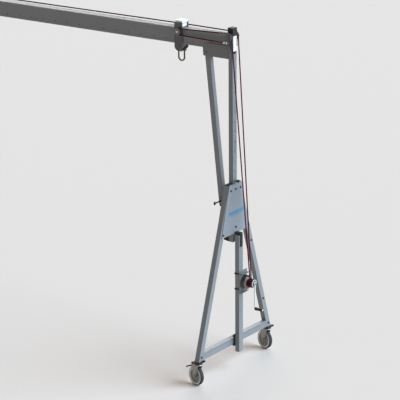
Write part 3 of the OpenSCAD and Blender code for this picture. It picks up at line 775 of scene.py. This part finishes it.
def lock_knob(left):
    """Spring plunger with a mushroom knob."""
    node = hand(left) + "_lock_plunger"
    low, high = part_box(node)
    out = -1 if left else 1
    inner = high.x if left else low.x
    seat = turned((inner, 0, (low.z + high.z) / 2), (out, 0, 0))
    bm = bmesh.new()
    lathe(bm, [(0.0008, 0), (0.0042, 0.0005), (0.005, 0.0015), (0.005, 0.018), (0.0049, 0.0185),
               (0.0049, 0.024), (0.0088, 0.0255), (0.010, 0.029), (0.0125, 0.031), (0.0138, 0.034),
               (0.0132, 0.038), (0.010, 0.041), (0.005, 0.0424), (0.0008, 0.0428)], seat, 40)
    piece(hand(left) + "_lock_knob", bm, "black", hand(left) + "_lock", [node])


for on_left in (False, True):
    leg_caps(on_left)
    strut_cap(on_left)
    front_strip(on_left)
    gusset_mark(on_left)
    lock_knob(on_left)
beam_rivets()
clamp_knobs()

# ---------------------------------------------------------------- winch

crank_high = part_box("winch_crank")[1]
disc_low, disc_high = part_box("ratchet_disc")
grip_low, grip_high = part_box("crank_grip")
HUB_X = crank_high.x - 0.090     # inner face of the crank's hub


def crank_grip():
    """Ribbed hand grip that turns on the crank's pin."""
    bm = bmesh.new()
    centre = middle("crank_grip")
    length = grip_high.x - grip_low.x
    seat = turned((grip_low.x, centre.y, centre.z), (1, 0, 0))
    profile = [(0.0051, 0), (0.0125, 0), (0.0142, 0.002), (0.0152, 0.007)]
    ribs = 7
    for k in range(ribs):
        z = 0.011 + k * (length - 0.024) / ribs
        waist = 0.0150 - 0.0022 * math.sin(math.pi * (k + 0.5) / ribs)
        groove = waist - 0.0011
        profile += [(waist, z), (waist, z + 0.0055), (groove, z + 0.0065), (groove, z + 0.0078)]
    profile += [(0.0152, length - 0.009), (0.0145, length - 0.003), (0.0128, length), (0.0051, length)]
    lathe(bm, profile, seat, 48, True)
    piece("grip_look", bm, "grip", "crank_grip", ["crank_grip"])


def upright(x, y, z):
    """Places an outline made in local XY in the YZ plane, its depth along +X."""
    return Matrix(((0, 0, 1, x), (1, 0, 0, y), (0, 1, 0, z), (0, 0, 0, 1)))


def round_end(y, radius, start, stop, count=12):
    """Arc about (0, y), angles in degrees."""
    return [
        (radius * math.cos(a), y + radius * math.sin(a))
        for a in (math.radians(start + (stop - start) * k / count) for k in range(count + 1))
    ]


def crank_look():
    """Dark disc with a bright rim, hub, flat arm with round ends, spindle and end nut."""
    axis = (drum.y, drum.z)
    reach = drum.z - middle("crank_grip").z
    disc = turned((disc_high.x, *axis), (1, 0, 0))
    bm = bmesh.new()
    lathe(bm, [(0.0082, 0.0001), (0.0330, 0.0001), (0.0340, 0.0006), (0.0340, 0.0014), (0.0330, 0.0019),
               (0.0082, 0.0019)], disc, 64, True)
    piece("crank_disc", bm, "winch", "winch", ["winch_crank"])
    bm = bmesh.new()
    lathe(bm, [(0.0285, 0.0017), (0.0345, 0.0005), (0.0352, 0.0012), (0.0350, 0.0030), (0.0340, 0.0040),
               (0.0300, 0.0040), (0.0288, 0.0030)], disc, 64, True)
    hub = turned((HUB_X, *axis), (1, 0, 0))
    lathe(bm, [(0.0082, 0.0), (0.0135, 0.0), (0.0140, 0.0008), (0.0140, 0.0140), (0.0130, 0.0150),
               (0.0082, 0.0150)], hub, 48, True)
    arm = round_end(0, 0.0135, -30, 210) + [(-0.0078, -0.016), (-0.0078, 0.010 - reach)]
    arm += round_end(-reach, 0.0090, 150, 390) + [(0.0078, 0.010 - reach), (0.0078, -0.016)]
    prism(bm, arm, 0.0070, upright(HUB_X + 0.003, *axis))
    seat = turned((HUB_X, drum.y, drum.z - reach), (1, 0, 0))
    lathe(bm, [(0.0040, 0.0050), (0.0050, 0.0055), (0.0050, 0.0858), (0.0085, 0.0860), (0.0090, 0.0866),
               (0.0090, 0.0892), (0.0080, 0.0900), (0.0030, 0.0900)], seat, 32)
    piece("crank_arm", bm, "chrome", "winch", ["winch_crank"], 0.0008)


def winch_trim():
    """Face of the drum's flange with its bolts, and the sleeve on the pawl's rod."""
    bm = bmesh.new()
    flange = turned((wound_low.x - 0.0008, drum.y, drum.z), (1, 0, 0))
    lathe(bm, [(0.0250, 0.0), (0.0590, 0.0), (0.0600, 0.0006), (0.0592, 0.0014), (0.0250, 0.0014)],
          flange, 96, True)
    for k in range(8):
        seat = flange @ Matrix.Rotation(math.tau * k / 8, 4, "Z") @ Matrix.Translation((0.0530, 0, 0.0012))
        prism(bm, hexagon(0.0032), 0.0016, seat)
    rim = turned((wound_low.x - 0.0085, drum.y, drum.z), (1, 0, 0))
    lathe(bm, [(0.0598, 0.0), (0.0606, 0.0006), (0.0606, 0.0068), (0.0598, 0.0074)], rim, 96, True)
    piece("flange_face", bm, "winch_ring", "winch", edge=0.0003)
    bm = bmesh.new()
    rod = turned((disc_low.x - 0.0665, drum.y - 0.052, drum.z + 0.080), (1, 0, 0))
    lathe(bm, [(0.0071, 0.0), (0.0076, 0.0006), (0.0076, 0.065), (0.0071, 0.066)], rod, 32, True)
    for k in range(4):
        collar = rod @ Matrix.Translation((0, 0, 0.006 + 0.016 * k))
        lathe(bm, [(0.0074, 0.0), (0.0081, 0.0004), (0.0081, 0.0036), (0.0074, 0.0040)], collar, 32, True)
    piece("pawl_sleeve", bm, "black", "right_frame")


crank_grip()
crank_look()
winch_trim()

# ---------------------------------------------------------------- trolley


def shackle_look():
    """Bow with a swept rod, forged eyes and a waist."""
    low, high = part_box("shackle")
    centre = (low + high) / 2
    eye_z = high.z - 0.014
    reach, rod = 0.030, 0.007
    bow_z = low.z + reach + 0.006
    path = [Vector((centre.x - reach, 0, eye_z - 0.004))]
    path += between((centre.x - reach, 0, eye_z - 0.012), (centre.x - reach, 0, bow_z), 0.012)
    path += arc_y((centre.x, 0, bow_z), reach, 180, 360, 20)[1:]
    path += between((centre.x + reach, 0, bow_z), (centre.x + reach, 0, eye_z - 0.012), 0.012)[1:]
    path.append(Vector((centre.x + reach, 0, eye_z - 0.004)))
    bm = bmesh.new()
    tube(bm, path, rod, 16)
    for side in (-1, 1):
        seat = turned((centre.x + side * reach, 0, eye_z), (1, 0, 0))
        lathe(bm, [(0.0081, -0.007), (0.0125, -0.007), (0.014, -0.0045), (0.014, 0.0045),
                   (0.0125, 0.007), (0.0081, 0.007)], seat, 32, True)
    piece("shackle_look", bm, "gold", "shackle", ["shackle"])


def trolley_trim():
    """Cap on the return sheave's axle."""
    bm = bmesh.new()
    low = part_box("trolley_fixings")[0]
    hub = turned((return_sheave.x, low.y, return_sheave.z), (0, -1, 0))
    lathe(bm, [(0.0008, 0.004), (0.0065, 0.004), (0.0095, 0.002), (0.0100, 0.0005), (0.0100, -0.001),
               (0.0008, -0.001)], hub, 32)
    piece("return_axle_cap", bm, "chrome", "trolley")


shackle_look()
trolley_trim()

# ---------------------------------------------------------------- floor and light

FLOOR_HALF = 60


def add_stage():
    mesh = bpy.data.meshes.new("floor")
    corners = [(-1, -1), (1, -1), (1, 1), (-1, 1)]
    mesh.from_pydata([(FLOOR_HALF * x, FLOOR_HALF * y, 0) for x, y in corners], [], [(0, 1, 2, 3)])
    floor = bpy.data.objects.new("floor", mesh)
    bpy.context.scene.collection.objects.link(floor)
    s = Shader("floor")
    grain = s.noise(3, 3)
    s.colour(s.mixed(grain, (0.657, 0.583, 0.514), (0.662, 0.588, 0.519)))
    s.set(Roughness=0.9)
    floor.data.materials.append(s.material)


def add_sun(name, energy, turn, colour, angle):
    """A sun with a soft edge; turn and angle are in degrees."""
    data = bpy.data.lights.new(name, "SUN")
    data.energy = energy
    data.color = colour
    data.angle = math.radians(angle)
    light = bpy.data.objects.new(name, data)
    light.rotation_euler = [math.radians(a) for a in turn]
    bpy.context.scene.collection.objects.link(light)


def add_world():
    world = bpy.data.worlds.new("world")
    bpy.context.scene.world = world
    world.use_nodes = True
    back = world.node_tree.nodes["Background"]
    back.inputs[0].default_value = (1.0, 0.86, 0.76, 1)
    back.inputs[1].default_value = 0.34


add_stage()
add_world()
add_sun("key", 6.1, (0, 58, 20), (0.62, 0.80, 1.0), 60)
add_sun("rim", 1.6, (73, 0, -147), (1.0, 0.97, 0.94), 40)
bpy.context.scene.view_settings.view_transform = "Standard"
